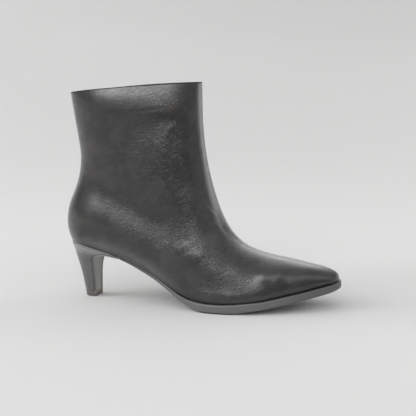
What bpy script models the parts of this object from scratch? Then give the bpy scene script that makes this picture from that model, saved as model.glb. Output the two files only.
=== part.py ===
"""Low heel ankle boot for the right foot, in black leather.

The boot is laid out in the frame of its last, in millimetres: x runs from the back of the counter to the
tip of the sole, y towards the inner side of the foot, and z up from the floor. Every piece is a loft of
closed rings. A ring runs along the outer side from back to front and returns along the inner side.
"""

import math
from collections import namedtuple

import bmesh
import bpy
import numpy as np

MM = 0.001

# Driving sizes, in millimetres
LENGTH = 250.0
BALL_WIDTH = 80.0
HEEL_HEIGHT = 53.0
SHAFT_HEIGHT = 194.0
SOLE_EDGE = 7.0
WALL = 1.8
MEETING_GAP = 0.3

# Centre of the boot's footprint in the last's frame, which becomes the origin
CENTRE_X = 124.1
CENTRE_Y = -1.1

# Upper: how it tucks in at the sole, swells above it and narrows into the shaft
UPPER_RINGS = 28
UPPER_COLUMNS = 36
EDGE_GATHER = 1.45
LEVEL_STEP = 0.002
FOOT = 0.8
TUCK = 1.9
HEEL_TUCK = 0.0
TUCK_FROM = 100.0
TUCK_FULL = 126.0
TUCK_RISE = 1.4
BELLY_RISE = 26.0
BELLY_ROUND = 4.0
SHAFT_FROM = 62.0
SHAFT_FULL = 128.0
COLLAR_CROWN = 1.8
ARCH_FADE = 3.0
SEAM_HALF_WIDTH = 0.9
SEAM_DEPTH = 0.7

# Sole: the ledge that shows round the forefoot, and the rounding of its edges
LEDGE = 1.9
LEDGE_FROM = 80.0
LEDGE_FULL = 130.0
SOLE_COLUMNS = 46
SOLE_GATHER = 1.6
SOLE_START = 54.6
SOLE_END = 247.9
SOLE_TIP_REACH = 11.0
SOLE_BEVEL = 1.4
SOLE_TOP_BEVEL = 0.7

# Heel and its top piece
HEEL_COLUMNS = 15
HEEL_RINGS = 15
HEEL_REACH = 0.9
HEEL_LEDGE = 0.5
BREAST_RIM = 1.5
BREAST_STEP = 0.9
BREAST_RECESS = 0.6
BREAST_SKEW = 0.09
BREAST_TURNS = 0.30
BREAST_FADES = 0.60
BREAST_ENDS = 0.80
TIP_HEIGHT = 4.8
TIP_BEVEL = 0.5

# Insole board with its sock
INSOLE_THICK = 2.6
INSOLE_CLEAR = 0.7
INSOLE_TOE_CLEAR = 2.5
INSOLE_COLUMNS = 30
INSOLE_SQUARENESS = 24.0

# Points closer than this, in metres, are one point, and edges sharper than this angle stay sharp
WELD = 1e-6
SHARP_DEG = 40.0

# One row for each section across the last. Columns: where the section lies as a share of LENGTH; the
# sideways swing of its middle, the outer and inner half widths and the half width at the belly as shares
# of BALL_WIDTH; the height of the seat that the upper stands on as a share of HEEL_HEIGHT; and the depth
# of the sole as a share of SOLE_EDGE.
Section = namedtuple("Section", "station along swing outer inner belly seat sole")
SECTIONS = (
    Section("heel", 0.015, 0.000, 0.296, 0.298, 0.362, 1.000, 0.32),
    Section("seat", 0.08, 0.000, 0.298, 0.300, 0.370, 0.965, 0.30),
    Section("counter", 0.14, 0.000, 0.300, 0.296, 0.378, 0.893, 0.26),
    Section("breast", 0.22, 0.000, 0.302, 0.272, 0.384, 0.776, 0.22),
    Section("waist", 0.30, 0.000, 0.322, 0.258, 0.392, 0.621, 0.36),
    Section("arch", 0.38, 0.000, 0.370, 0.278, 0.412, 0.429, 0.49),
    Section("hollow", 0.46, 0.000, 0.430, 0.342, 0.452, 0.213, 0.72),
    Section("joint", 0.54, 0.000, 0.480, 0.414, 0.482, 0.141, 1.08),
    Section("ball", 0.61, 0.002, 0.490, 0.450, 0.490, 0.145, 1.11),
    Section("tread", 0.67, 0.006, 0.478, 0.455, 0.478, 0.175, 1.07),
    Section("vamp", 0.74, 0.012, 0.436, 0.426, 0.436, 0.212, 0.96),
    Section("toe box", 0.80, 0.020, 0.372, 0.367, 0.373, 0.265, 0.98),
    Section("toe", 0.86, 0.028, 0.293, 0.291, 0.294, 0.317, 0.96),
    Section("snip", 0.92, 0.035, 0.207, 0.207, 0.208, 0.377, 0.96),
    Section("tip", 0.96, 0.039, 0.156, 0.156, 0.157, 0.419, 0.92),
    Section("end", 1.00, 0.040, 0.120, 0.120, 0.121, 0.466, 0.90),
)

# The middle line of the upper seen from the side. Columns: share of LENGTH, share of SHAFT_HEIGHT, the
# distance in millimetres over which the wall rounds over to its full width, and how blunt that round is.
Profile = namedtuple("Profile", "place along height reach bluntness")
FRONT = (
    Profile("toe edge", 0.983, 0.1285, 8.0, 2.00),
    Profile("toe nose", 0.980, 0.1500, 8.0, 2.00),
    Profile("toe top", 0.962, 0.1690, 9.0, 2.00),
    Profile("toe cap", 0.895, 0.1915, 17.0, 2.50),
    Profile("vamp low", 0.805, 0.2145, 25.0, 2.25),
    Profile("vamp", 0.715, 0.2395, 33.0, 2.05),
    Profile("throat", 0.640, 0.2815, 41.0, 2.20),
    Profile("instep", 0.583, 0.3680, 46.0, 2.35),
    Profile("bend", 0.544, 0.4920, 50.0, 2.50),
    Profile("ankle", 0.5125, 0.6630, 52.0, 2.60),
    Profile("shaft", 0.4985, 0.8290, 52.0, 2.60),
    Profile("collar", 0.4960, 1.0000, 52.0, 2.60),
)
BACK = (
    Profile("heel edge", 0.0155, 0.2762, 22.0, 2.00),
    Profile("counter low", 0.0050, 0.3190, 26.0, 2.00),
    Profile("counter", 0.0012, 0.3630, 29.0, 2.00),
    Profile("counter top", 0.0080, 0.4350, 32.0, 2.00),
    Profile("tendon low", 0.0310, 0.5130, 34.0, 2.05),
    Profile("tendon", 0.0490, 0.5900, 36.0, 2.10),
    Profile("ankle", 0.0560, 0.6740, 38.0, 2.15),
    Profile("shaft low", 0.0487, 0.7560, 40.0, 2.20),
    Profile("shaft", 0.0375, 0.8440, 42.0, 2.20),
    Profile("collar", 0.0238, 0.9520, 42.0, 2.20),
)

# Half width of the shaft at heights given as shares of SHAFT_HEIGHT
Shaft = namedtuple("Shaft", "height half_width")
SHAFT = (
    Shaft(0.35, 30.0),
    Shaft(0.50, 29.0),
    Shaft(0.66, 27.7),
    Shaft(0.80, 27.1),
    Shaft(0.94, 27.0),
    Shaft(1.00, 24.6),
)

# The heel from its top piece to its rim. Columns, in millimetres: the back and front of each ring, seen
# from the side, its half width, how much of the seat's curve it follows, and how far below the seat.
Flare = namedtuple("Flare", "level back_x back_z front_x front_z half_width seat_curve drop")
HEEL = (
    Flare("tip", 15.5, 0.0, 27.4, 0.0, 6.9, 0.0, 8.0),
    Flare("shank", 12.2, 19.0, 26.9, 19.0, 8.6, 0.0, 8.0),
    Flare("neck", 9.2, 31.0, 27.1, 31.0, 11.3, 0.0, 7.0),
    Flare("flare", 6.8, 41.0, 30.0, 39.0, 16.4, 0.0, 5.0),
    Flare("lip", 5.2, 47.0, 38.0, 41.3, 20.8, 0.3, 3.0),
    Flare("rim low", 4.4, 50.2, 47.5, 41.3, 23.4, 0.7, 2.2),
    Flare("lip end", 4.1, 51.6, 54.2, 40.6, 24.4, 1.0, 1.2),
    Flare("rim", 3.9, 52.7, 54.2, 41.6, 24.9, 1.0, 0.0),
)

# Colour and roughness of each surface
Finish = namedtuple("Finish", "name colour roughness")
LEATHER = Finish("black_leather", (0.011, 0.011, 0.011), 0.42)
SOLE_RUBBER = Finish("sole_rubber", (0.120, 0.118, 0.118), 0.50)
HEEL_COVER = Finish("heel_cover", (0.100, 0.098, 0.098), 0.40)
TIP_RUBBER = Finish("tip_rubber", (0.105, 0.103, 0.101), 0.60)
SOCK = Finish("sock_lining", (0.025, 0.024, 0.023), 0.70)


def natural_spline(knots, values):
    """Returns the smoothest cubic curve through the values, as a function of the knots' coordinate."""
    x = np.asarray(knots, float)
    y = np.asarray(values, float)
    n = len(x)
    step = np.diff(x)
    rise = np.diff(y) / step
    system = np.eye(n)
    wanted = np.zeros(n)
    for i in range(1, n - 1):
        system[i, i - 1] = step[i - 1]
        system[i, i] = 2.0 * (step[i - 1] + step[i])
        system[i, i + 1] = step[i]
        wanted[i] = 3.0 * (rise[i] - rise[i - 1])
    bend = np.linalg.solve(system, wanted)

    def curve(at):
        at = np.clip(np.asarray(at, float), x[0], x[-1])
        i = np.clip(np.searchsorted(x, at) - 1, 0, n - 2)
        past = at - x[i]
        slope = rise[i] - step[i] * (2.0 * bend[i] + bend[i + 1]) / 3.0
        twist = (bend[i + 1] - bend[i]) / (3.0 * step[i])
        return y[i] + past * (slope + past * (bend[i] + past * twist))

    return curve


def section_curve(column, size):
    """A column of SECTIONS along the boot, in millimetres."""
    places = [row.along * LENGTH for row in SECTIONS]
    return natural_spline(places, [getattr(row, column) * size for row in SECTIONS])


swing = section_curve("swing", BALL_WIDTH)
outer_half = section_curve("outer", BALL_WIDTH)
inner_half = section_curve("inner", BALL_WIDTH)
belly_half = section_curve("belly", BALL_WIDTH)
seat_height = section_curve("seat", HEEL_HEIGHT)
sole_depth = section_curve("sole", SOLE_EDGE)
shaft_half = natural_spline([row.height * SHAFT_HEIGHT for row in SHAFT], [row.half_width for row in SHAFT])


def feather_height(x):
    """Height of the feather line, on top of the upright foot that the upper stands on the seat with."""
    return seat_height(x) + MEETING_GAP + FOOT


def ease(share):
    """A step from 0 to 1 with a soft start and end."""
    share = np.clip(share, 0.0, 1.0)
    return share * share * (3.0 - 2.0 * share)


def swell_out(share):
    """A step from 0 to 1 that starts steeply and ends softly."""
    return 1.0 - (1.0 - np.clip(share, 0.0, 1.0)) ** BELLY_ROUND


def tuck(x):
    """How far the upper is drawn in where it meets the sole: nothing at the heel, more round the forefoot."""
    return HEEL_TUCK + (TUCK - HEEL_TUCK) * ease((x - TUCK_FROM) / (TUCK_FULL - TUCK_FROM))


class MiddleLine:
    """The front or back of the upper seen from the side, run along from 0 at the sole to 1 at the collar."""

    SAMPLES = 600

    def __init__(self, rows):
        x = np.array([row.along * LENGTH for row in rows])
        z = np.array([row.height * SHAFT_HEIGHT for row in rows])
        z[0] = feather_height(x[0])
        run = np.concatenate([[0.0], np.cumsum(np.hypot(np.diff(x), np.diff(z)))])
        run /= run[-1]
        self.x = natural_spline(run, x)
        self.z = natural_spline(run, z)
        self.reach = natural_spline(run, [row.reach for row in rows])
        self.bluntness = natural_spline(run, [row.bluntness for row in rows])
        self.sampled = np.linspace(0.0, 1.0, self.SAMPLES)
        self.points = np.stack([self.x(self.sampled), self.z(self.sampled)], axis=-1)

    def nearest(self, points):
        """Distance from each point to the line, and how far along the line the nearest place is."""
        starts = self.points[:-1]
        spans = self.points[1:] - starts
        to_points = points[:, None, :] - starts[None, :, :]
        share = np.clip((to_points * spans).sum(-1) / (spans * spans).sum(-1), 0.0, 1.0)
        gaps = np.linalg.norm(to_points - share[..., None] * spans, axis=-1)
        best = gaps.argmin(axis=1)
        rows = np.arange(len(points))
        along = (best + share[rows, best]) / (self.SAMPLES - 1)
        return gaps[rows, best], along

    def rounding(self, points):
        """How much of the full width the wall has reached at each point, from 0 on the line to 1 inside."""
        distance, along = self.nearest(points)
        blunt = self.bluntness(along)
        left = 1.0 - np.clip(distance / self.reach(along), 0.0, 1.0)
        return (1.0 - left**blunt) ** (1.0 / blunt)


front_line = MiddleLine(FRONT)
back_line = MiddleLine(BACK)


def half_width(points, feather):
    """Half width of the upper at points of its side view. The feather curve gives its width at the sole."""
    x = points[:, 0]
    z = points[:, 1]
    above = np.maximum(z - feather_height(x), 0.0)
    width = feather(x) - tuck(x) * np.exp(-above / TUCK_RISE)
    width = width + (belly_half(x) - width) * swell_out(above / BELLY_RISE)
    width = width + (shaft_half(z) - width) * ease((z - SHAFT_FROM) / (SHAFT_FULL - SHAFT_FROM))
    return width * front_line.rounding(points) * back_line.rounding(points)


def gathered(count):
    """Shares from 0 to 1 that crowd together at both ends, where a ring turns round its back and front."""
    return 0.5 - 0.5 * np.cos(np.linspace(0.0, math.pi, count + 1))


def upper_path(level, shares):
    """Side view of one ring of the upper, from its back to its front. Level 0 lies on the sole's feather
    line and level 1 is the collar."""
    back = np.array([back_line.x(level), back_line.z(level)])
    front = np.array([front_line.x(level), front_line.z(level)])
    path = back + shares[:, None] * (front - back)
    sole_back = back_line.points[0]
    sole_front = front_line.points[0]
    sole_line = sole_back + shares[:, None] * (sole_front - sole_back)
    sag = feather_height(sole_line[:, 0]) - sole_line[:, 1]
    path[:, 1] += sag * (1.0 - level) ** ARCH_FADE
    path[:, 1] += COLLAR_CROWN * 4.0 * shares * (1.0 - shares) * level**ARCH_FADE
    return path


def front_normal(level):
    """Direction square to the front line, out of the boot, in the side view."""
    ahead = min(level + LEVEL_STEP, 1.0)
    behind = max(level - LEVEL_STEP, 0.0)
    run = np.array([front_line.x(ahead) - front_line.x(behind), front_line.z(ahead) - front_line.z(behind)])
    run /= np.linalg.norm(run)
    return np.array([run[1], -run[0]])


def upper_ring(level):
    """One ring of the upper's outer face, with the groove of the front seam pressed into it."""
    path = upper_path(level, gathered(UPPER_COLUMNS))
    middle = swing(path[:, 0])
    outer = np.column_stack([path[:, 0], middle - half_width(path, outer_half), path[:, 1]])
    inner = np.column_stack([path[:, 0], middle + half_width(path, inner_half), path[:, 1]])
    tip = outer[-1].copy()
    seam = tip.copy()
    seam[[0, 2]] -= SEAM_DEPTH * front_normal(level)
    beside = np.array([0.0, SEAM_HALF_WIDTH, 0.0])
    front = np.array([tip - beside, seam, tip + beside])
    return np.concatenate([outer[:-1], front, inner[-2:0:-1]])


def ledge(x):
    """How far the sole stands out past the upper: nothing at the waist, a ledge round the forefoot."""
    return LEDGE * ease((x - LEDGE_FROM) / (LEDGE_FULL - LEDGE_FROM))


def sole_ring(inset, height):
    """One outline of the outsole, drawn in by the inset, at the height that the function gives."""
    shares = np.linspace(0.0, 1.0, SOLE_COLUMNS + 1)
    shares = 1.0 - (1.0 - shares) ** SOLE_GATHER
    start = SOLE_START + inset
    end = SOLE_END - inset
    x = start + shares * (end - start)
    left = 1.0 - np.clip((end - x) / SOLE_TIP_REACH, 0.0, 1.0)
    tip = np.sqrt(1.0 - left * left)
    outer = (outer_half(x) + ledge(x) - inset) * tip
    inner = (inner_half(x) + ledge(x) - inset) * tip
    z = height(x)
    outer_side = np.column_stack([x, swing(x) - outer, z])
    inner_side = np.column_stack([x, swing(x) + inner, z])
    return np.concatenate([outer_side, inner_side[::-1]])


def sole_bottom(x):
    """Underside of the outsole, which is flat on the floor under the ball."""
    return np.maximum(seat_height(x) - sole_depth(x), 0.0)


heel_curves = {
    column: natural_spline(np.linspace(0.0, 1.0, len(HEEL)), [getattr(row, column) for row in HEEL])
    for column in Flare._fields[1:]
}


def heel_sides(level):
    """The outer and inner side of one ring of the heel, from its back to the corners of its breast."""
    back_x, back_z, front_x, front_z, width, seat_curve, drop = (
        float(heel_curves[column](level)) for column in Flare._fields[1:]
    )
    front_x = min(front_x, HEEL[-1].front_x)
    seat_curve = min(max(seat_curve, 0.0), 1.0)
    shares = 1.0 - np.cos(np.linspace(0.0, 0.5 * math.pi, HEEL_COLUMNS + 1))
    x = back_x + shares * (front_x - back_x)
    chord = back_z + shares * (front_z - back_z)
    z = chord + (seat_height(x) - drop - chord) * seat_curve
    reach = HEEL_REACH * width
    left = 1.0 - np.clip((x - back_x) / min(reach, front_x - back_x), 0.0, 1.0)
    half = np.sqrt(1.0 - left * left)
    on_seat = float(ease(seat_curve))
    outer_width = width + (outer_half(x) + HEEL_LEDGE - width) * on_seat
    inner_width = width + (inner_half(x) + HEEL_LEDGE - width) * on_seat
    outer = np.column_stack([x, -outer_width * half, z])
    inner = np.column_stack([x, inner_width * half, z])
    skew = BREAST_SKEW * (1.0 - on_seat) * shares
    outer[:, 0] += skew * outer[:, 1]
    inner[:, 0] += skew * inner[:, 1]
    return outer, inner


def add_breast(outer, inner, depth):
    """Joins a heel ring's two sides across its front, pressed back by the depth inside the rim."""
    first = outer[-1]
    across = inner[-1] - first
    rim = BREAST_RIM / np.linalg.norm(across)
    panel = (BREAST_RIM + BREAST_STEP) / np.linalg.norm(across)
    face = []
    for share, pressed in ((rim, 0.0), (panel, 1.0), (0.5, 1.0), (1.0 - panel, 1.0), (1.0 - rim, 0.0)):
        face.append(first + share * across + pressed * depth)
    return np.concatenate([outer, face, inner[::-1]])


def heel_rings():
    """The heel's rings from just above its top piece to the rim."""
    base = (TIP_HEIGHT + MEETING_GAP) / HEEL[1].back_z / (len(HEEL) - 1)
    levels = np.linspace(0.0, 1.0, HEEL_RINGS)
    levels[0] = base
    rings = []
    for level in levels:
        outer, inner = heel_sides(level)
        turned = 0.5 * math.pi * float(ease((level - BREAST_TURNS) / (BREAST_FADES - BREAST_TURNS)))
        fade = 1.0 - float(ease((level - BREAST_FADES) / (BREAST_ENDS - BREAST_FADES)))
        depth = BREAST_RECESS * fade * np.array([-math.cos(turned), 0.0, math.sin(turned)])
        rings.append(add_breast(outer, inner, depth))
    return rings


def tip_rings():
    """The top piece that the heel stands on, with its edges broken."""
    rise = TIP_HEIGHT / HEEL[1].back_z / (len(HEEL) - 1)
    low_outer, low_inner = heel_sides(0.0)
    high_outer, high_inner = heel_sides(rise)
    low = np.concatenate([low_outer, low_inner[::-1]])
    high = np.concatenate([high_outer, high_inner[::-1]])
    middle = low.mean(axis=0)
    rings = []
    for share, inset in ((0.0, TIP_BEVEL), (TIP_BEVEL / TIP_HEIGHT, 0.0), (1.0, 0.0)):
        ring = low + share * (high - low)
        inwards = (middle - ring)[:, :2]
        ring[:, :2] += inwards * inset / np.linalg.norm(inwards, axis=1)[:, None]
        rings.append(ring)
    return rings


def insole_ring(height):
    """One outline of the insole inside the upper's wall, at a height above the seat."""
    inset = WALL + TUCK + INSOLE_CLEAR
    shares = gathered(INSOLE_COLUMNS)
    start = BACK[0].along * LENGTH + WALL + INSOLE_CLEAR
    end = FRONT[0].along * LENGTH - WALL - INSOLE_TOE_CLEAR
    x = start + shares * (end - start)
    points = np.column_stack([x, feather_height(x) + INSOLE_THICK])
    rounding = front_line.rounding(points) * back_line.rounding(points)
    closing = np.sqrt(1.0 - np.abs(2.0 * shares - 1.0) ** INSOLE_SQUARENESS)
    outer = np.maximum(outer_half(x) * rounding - inset, 0.0) * closing
    inner = np.maximum(inner_half(x) * rounding - inset, 0.0) * closing
    z = seat_height(x) + MEETING_GAP + height
    outer_side = np.column_stack([x, swing(x) - outer, z])
    inner_side = np.column_stack([x, swing(x) + inner, z])
    return np.concatenate([outer_side, inner_side[::-1]])


def material(finish):
    """A plain surface of one colour."""
    made = bpy.data.materials.new(finish.name)
    made.use_nodes = True
    shader = made.node_tree.nodes["Principled BSDF"]
    shader.inputs["Base Color"].default_value = (*finish.colour, 1.0)
    shader.inputs["Roughness"].default_value = finish.roughness
    shader.inputs["Metallic"].default_value = 0.0
    return made


def placed(ring):
    """A ring in metres, about the centre of the boot's footprint."""
    return (np.asarray(ring) - np.array([CENTRE_X, CENTRE_Y, 0.0])) * MM


def loft(name, rings, finish, capped=True):
    """Makes an object whose skin runs through the rings from the lowest to the highest. A cap crosses the
    ring in strips, from each point of one side to its partner on the other."""
    mesh = bmesh.new()
    rows = [[mesh.verts.new(point) for point in placed(ring)] for ring in rings]
    count = len(rows[0])
    for low, high in zip(rows, rows[1:]):
        for i in range(count):
            j = (i + 1) % count
            mesh.faces.new((low[i], low[j], high[j], high[i]))
    if capped:
        for i in range((count - 1) // 2):
            j = count - 1 - i
            around = dict.fromkeys((i, i + 1, j - 1, j))
            mesh.faces.new([rows[0][k] for k in reversed(around)])
            mesh.faces.new([rows[-1][k] for k in around])
    bmesh.ops.remove_doubles(mesh, verts=mesh.verts, dist=WELD)
    bmesh.ops.recalc_face_normals(mesh, faces=mesh.faces)
    data = bpy.data.meshes.new(name)
    mesh.to_mesh(data)
    mesh.free()
    data.shade_smooth()
    data.set_sharp_from_angle(angle=math.radians(SHARP_DEG))
    data.materials.append(material(finish))
    made = bpy.data.objects.new(name, data)
    boot.objects.link(made)
    return made


def make_upper():
    """The upper with its shaft: one skin from the feather line to the collar, given the wall's thickness."""
    rings = [upper_ring(level) for level in np.linspace(0.0, 1.0, UPPER_RINGS) ** EDGE_GATHER]
    rings.insert(0, rings[0] - np.array([0.0, 0.0, FOOT]))
    upper = loft("upper", rings, LEATHER, capped=False)
    wall = upper.modifiers.new("wall", "SOLIDIFY")
    wall.thickness = WALL * MM
    wall.offset = -1.0
    wall.use_even_offset = True
    return upper


def make_outsole():
    """The outsole from the heel's lip to the toe, thin at the waist and thick round the forefoot."""

    def bevelled(x):
        return np.minimum(sole_depth(x) / SOLE_EDGE, 1.0)

    rings = (
        sole_ring(SOLE_BEVEL, sole_bottom),
        sole_ring(0.0, lambda x: sole_bottom(x) + SOLE_BEVEL * bevelled(x)),
        sole_ring(0.0, lambda x: seat_height(x) - SOLE_TOP_BEVEL * bevelled(x)),
        sole_ring(SOLE_TOP_BEVEL, seat_height),
    )
    return loft("outsole", rings, SOLE_RUBBER)


def make_heel():
    """The covered heel, with its top piece below it."""
    loft("heel", heel_rings(), HEEL_COVER)
    loft("heel_tip", tip_rings(), TIP_RUBBER)


def make_insole():
    """The insole, lying on the sole and the heel inside the upper."""
    rings = (insole_ring(0.0), insole_ring(INSOLE_THICK))
    return loft("insole", rings, SOCK)


for old in list(bpy.data.objects):
    bpy.data.objects.remove(old, do_unlink=True)
boot = bpy.data.collections.new("low_heel_ankle_boot")
bpy.context.scene.collection.children.link(boot)
make_upper()
make_outsole()
make_heel()
make_insole()
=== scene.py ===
"""Looks of the low heel ankle boot: its leather, sole, heel and lining, on a pale floor in soft light.

Shapes are worked out in the frame of the boot's last, in millimetres: x runs from the back of the counter
to the tip of the sole, y towards the inner side of the foot, and z up from the floor. placed() then takes
them to the frame's metres.
"""

import math
from collections import namedtuple

import bmesh
import bpy
import numpy as np
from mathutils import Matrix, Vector


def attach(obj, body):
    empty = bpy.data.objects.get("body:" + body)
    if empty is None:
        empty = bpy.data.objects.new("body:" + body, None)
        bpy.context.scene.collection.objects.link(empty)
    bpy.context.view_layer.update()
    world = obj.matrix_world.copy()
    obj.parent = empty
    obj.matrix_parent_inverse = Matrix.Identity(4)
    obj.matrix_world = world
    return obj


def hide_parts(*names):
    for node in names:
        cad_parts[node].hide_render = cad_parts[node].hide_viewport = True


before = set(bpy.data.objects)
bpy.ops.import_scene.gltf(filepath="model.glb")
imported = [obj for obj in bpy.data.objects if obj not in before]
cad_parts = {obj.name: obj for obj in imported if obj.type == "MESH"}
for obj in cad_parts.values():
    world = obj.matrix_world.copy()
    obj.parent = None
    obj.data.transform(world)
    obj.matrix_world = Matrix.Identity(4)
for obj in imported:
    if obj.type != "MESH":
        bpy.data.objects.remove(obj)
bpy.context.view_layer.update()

MM = 0.001
CENTRE = np.array([124.1, -1.1, 0.0])

# Driving sizes of the boot, as in its solids
LENGTH = 250.0
BALL_WIDTH = 80.0
HEEL_HEIGHT = 53.0
SHAFT_HEIGHT = 194.0
SOLE_EDGE = 7.0
WALL = 1.8
MEETING_GAP = 0.3
FOOT = 0.1
TUCK = 1.9
TUCK_FROM = 100.0
TUCK_FULL = 126.0
TUCK_RISE = 1.4
BELLY_RISE = 26.0
BELLY_ROUND = 4.0
SHAFT_FROM = 62.0
SHAFT_FULL = 128.0
COLLAR_CROWN = 1.8
ARCH_FADE = 3.0
EDGE_GATHER = 1.35
LEDGE = 1.9
LEDGE_FROM = 80.0
LEDGE_FULL = 130.0
SOLE_START = 54.6
SOLE_END = 247.9
SOLE_START_INSET = 1.0
SOLE_TIP_REACH = 11.0
SOLE_BEVEL = 1.4
SOLE_TOP_BEVEL = 0.7
HEEL_REACH = 0.9
BREAST_SKEW = 0.09
HEEL_LEDGE = 0.5
TIP_HEIGHT = 4.8
INSOLE_THICK = 2.6
INSOLE_CLEAR = 0.7
INSOLE_TOE_CLEAR = 2.5
INSOLE_END_BLUNTNESS = 24
LINING_CLEAR = 0.3

# How finely each piece is drawn
UPPER_ROWS = 190
UPPER_COLUMNS = 160
LINING_EVERY = 6
COLLAR_TURNS_DEG = (30.0, 60.0, 90.0, 120.0, 150.0)
SOLE_COLUMNS = 220
SOLE_TIP_CROWDING = 1.6
SOLE_STRIPS = 28
SOLE_BEVEL_TURNS_DEG = (0.0, 22.5, 45.0, 67.5, 90.0)
SOLE_EDGE_SHARES = (0.25, 0.5, 0.75)
SOLE_TOP_TURNS_DEG = (0.0, 30.0, 60.0, 90.0)
HEEL_ROWS = 84
HEEL_COLUMNS = 44
INSOLE_COLUMNS = 120

# Points nearer than the first of these, in metres, are joined, and so are the ends of edges shorter than the
# second. Edges that turn by more than the angles are sharp.
MERGE_DISTANCE = 2e-6
SHORTEST_EDGE = 1e-7
SOLE_SHARP_DEG = 50.0
HEEL_SHARP_DEG = 50.0
TIP_SHARP_DEG = 40.0
INSOLE_SHARP_DEG = 60.0

# One row for each section across the last. Columns: where the section lies as a share of LENGTH; the
# sideways swing of its middle, the outer and inner half widths and the half width at the belly as shares
# of BALL_WIDTH; the height of the seat as a share of HEEL_HEIGHT; the sole's depth as a share of SOLE_EDGE.
Section = namedtuple("Section", "station along swing outer inner belly seat sole")
SECTIONS = (
    Section("heel", 0.015, 0.000, 0.296, 0.298, 0.362, 1.000, 0.32),
    Section("seat", 0.08, 0.000, 0.298, 0.300, 0.370, 0.965, 0.30),
    Section("counter", 0.14, 0.000, 0.300, 0.296, 0.378, 0.893, 0.26),
    Section("breast", 0.22, 0.000, 0.302, 0.272, 0.384, 0.776, 0.22),
    Section("waist", 0.30, 0.000, 0.322, 0.258, 0.392, 0.621, 0.36),
    Section("arch", 0.38, 0.000, 0.370, 0.278, 0.412, 0.429, 0.49),
    Section("hollow", 0.46, 0.000, 0.430, 0.342, 0.452, 0.213, 0.72),
    Section("joint", 0.54, 0.000, 0.480, 0.414, 0.482, 0.141, 1.08),
    Section("ball", 0.61, 0.002, 0.490, 0.450, 0.490, 0.145, 1.11),
    Section("tread", 0.67, 0.006, 0.478, 0.455, 0.478, 0.175, 1.07),
    Section("vamp", 0.74, 0.012, 0.436, 0.426, 0.436, 0.212, 0.96),
    Section("toe box", 0.80, 0.020, 0.372, 0.367, 0.373, 0.265, 0.98),
    Section("toe", 0.86, 0.028, 0.293, 0.291, 0.294, 0.317, 0.96),
    Section("snip", 0.92, 0.035, 0.207, 0.207, 0.208, 0.377, 0.96),
    Section("tip", 0.96, 0.039, 0.156, 0.156, 0.157, 0.419, 0.92),
    Section("end", 1.00, 0.040, 0.120, 0.120, 0.121, 0.466, 0.90),
)

# The middle line of the upper seen from the side. Columns: share of LENGTH, share of SHAFT_HEIGHT, the
# distance in millimetres over which the wall rounds over to its full width, and how blunt that round is.
Profile = namedtuple("Profile", "place along height reach bluntness")
FRONT = (
    Profile("toe edge", 0.983, 0.1285, 8.0, 2.00),
    Profile("toe nose", 0.980, 0.1500, 8.0, 2.00),
    Profile("toe top", 0.962, 0.1690, 9.0, 2.00),
    Profile("toe cap", 0.895, 0.1915, 17.0, 2.50),
    Profile("vamp low", 0.805, 0.2145, 25.0, 2.25),
    Profile("vamp", 0.715, 0.2395, 33.0, 2.05),
    Profile("throat", 0.640, 0.2815, 41.0, 2.20),
    Profile("instep", 0.583, 0.3680, 46.0, 2.35),
    Profile("bend", 0.544, 0.4920, 50.0, 2.50),
    Profile("ankle", 0.5125, 0.6630, 52.0, 2.60),
    Profile("shaft", 0.4985, 0.8290, 52.0, 2.60),
    Profile("collar", 0.4960, 1.0000, 52.0, 2.60),
)
BACK = (
    Profile("heel edge", 0.0155, 0.2762, 22.0, 2.00),
    Profile("counter low", 0.0050, 0.3190, 26.0, 2.00),
    Profile("counter", 0.0012, 0.3630, 29.0, 2.00),
    Profile("counter top", 0.0080, 0.4350, 32.0, 2.00),
    Profile("tendon low", 0.0310, 0.5130, 34.0, 2.05),
    Profile("tendon", 0.0490, 0.5900, 36.0, 2.10),
    Profile("ankle", 0.0560, 0.6740, 38.0, 2.15),
    Profile("shaft low", 0.0487, 0.7560, 40.0, 2.20),
    Profile("shaft", 0.0375, 0.8440, 42.0, 2.20),
    Profile("collar", 0.0238, 0.9520, 42.0, 2.20),
)

# Half width of the shaft at heights given as shares of SHAFT_HEIGHT
Shaft = namedtuple("Shaft", "height half_width")
SHAFT = (
    Shaft(0.35, 30.0),
    Shaft(0.50, 29.0),
    Shaft(0.66, 27.7),
    Shaft(0.80, 27.1),
    Shaft(0.94, 27.0),
    Shaft(1.00, 24.6),
)

# The heel from its top piece to its rim. Columns, in millimetres: the back and front of each ring, seen
# from the side, its half width, how much of the seat's curve it follows, and how far below the seat.
Flare = namedtuple("Flare", "level back_x back_z front_x front_z half_width seat_curve drop")
HEEL = (
    Flare("tip", 15.5, 0.0, 27.4, 0.0, 6.9, 0.0, 8.0),
    Flare("shank", 12.2, 19.0, 26.9, 19.0, 8.6, 0.0, 8.0),
    Flare("neck", 9.2, 31.0, 27.1, 31.0, 11.3, 0.0, 7.0),
    Flare("flare", 6.8, 41.0, 30.0, 39.0, 16.4, 0.0, 5.0),
    Flare("lip", 5.2, 47.0, 38.0, 41.3, 20.8, 0.3, 3.0),
    Flare("rim low", 4.4, 50.2, 47.5, 41.3, 23.4, 0.7, 2.2),
    Flare("lip end", 4.1, 51.6, 54.2, 40.6, 24.4, 1.0, 1.2),
    Flare("rim", 3.9, 52.7, 54.2, 41.6, 24.9, 1.0, 0.0),
)

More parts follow.
